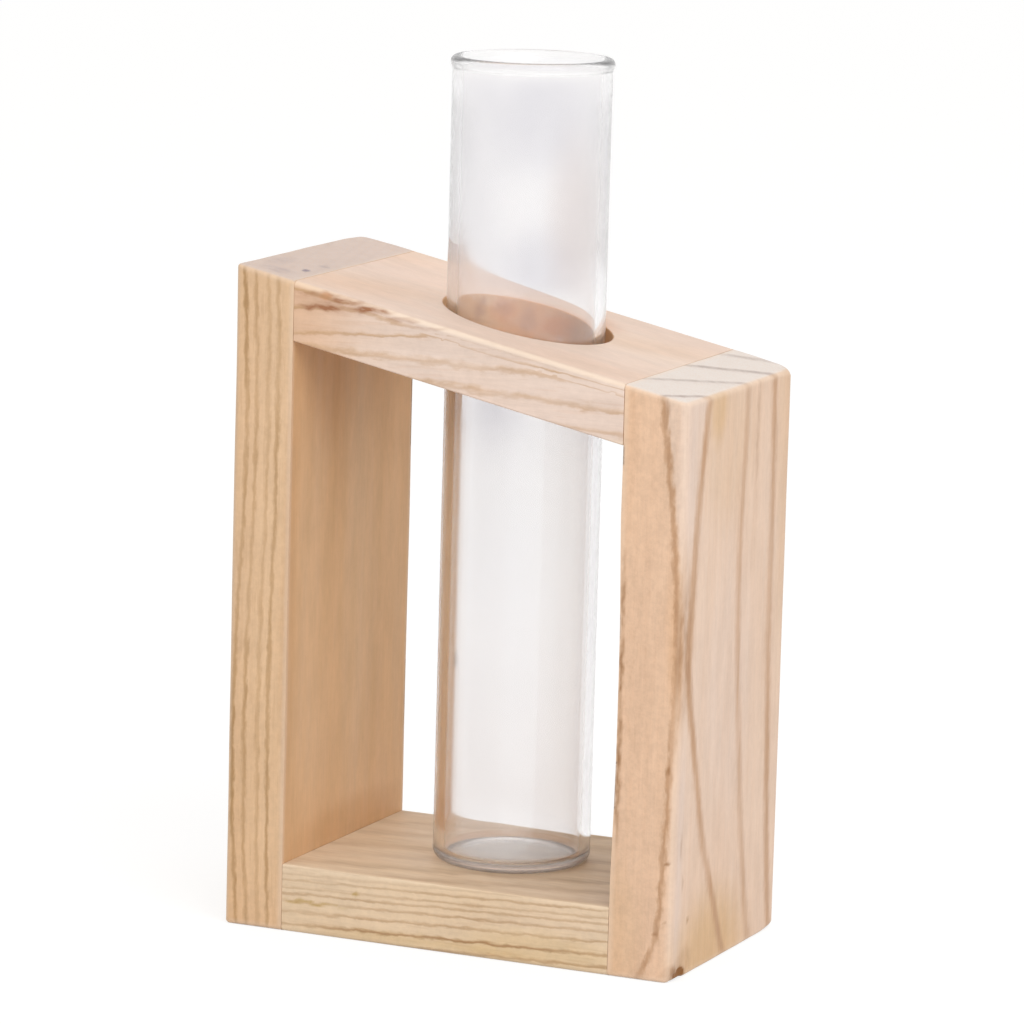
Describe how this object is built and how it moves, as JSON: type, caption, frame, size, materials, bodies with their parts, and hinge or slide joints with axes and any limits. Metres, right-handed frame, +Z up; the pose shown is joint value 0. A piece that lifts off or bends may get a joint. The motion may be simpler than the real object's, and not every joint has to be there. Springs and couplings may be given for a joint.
{
  "type": "test tube vase",
  "caption": "Flower vase: a flat-bottomed glass tube that lifts out of a small upright wooden frame with a top that slopes down to one side.",
  "frame": {"origin": "middle of the frame's footprint, on the surface that the vase stands on", "axes": "+Z up along the tube, +X towards the lower side of the sloped top, -Y towards the front, so +Y along the frame's depth"},
  "size_m": [0.092, 0.053, 0.166],
  "materials": {
    "left_board": "sanded softwood, fine straight yellow-tan grain lines",
    "right_board": "sanded softwood, wide-spaced brown ring lines, bowed like cathedral grain",
    "top_board": "sanded softwood, smooth pinkish face, wavy banded front",
    "bottom_board": "sanded softwood, many fine grain lines",
    "dowel_wood": "turned hardwood",
    "glass": "clear, fire-polished rim"
  },
  "bodies": {
    "frame": {"left_upright": "left_board", "right_upright": "right_board", "top_rail": "top_board", "bottom_rail": "bottom_board", "bottom_left_dowels": "dowel_wood", "bottom_right_dowels": "dowel_wood", "top_left_dowels": "dowel_wood", "top_right_dowels": "dowel_wood"},
    "tube": {"glass_tube": "glass"}
  },
  "joints": [
    {"name": "tube_lift", "type": "slide", "parent": "frame", "child": "tube", "axis": [0, 0, 1], "range_m": [0, 0.115]}
  ]
}
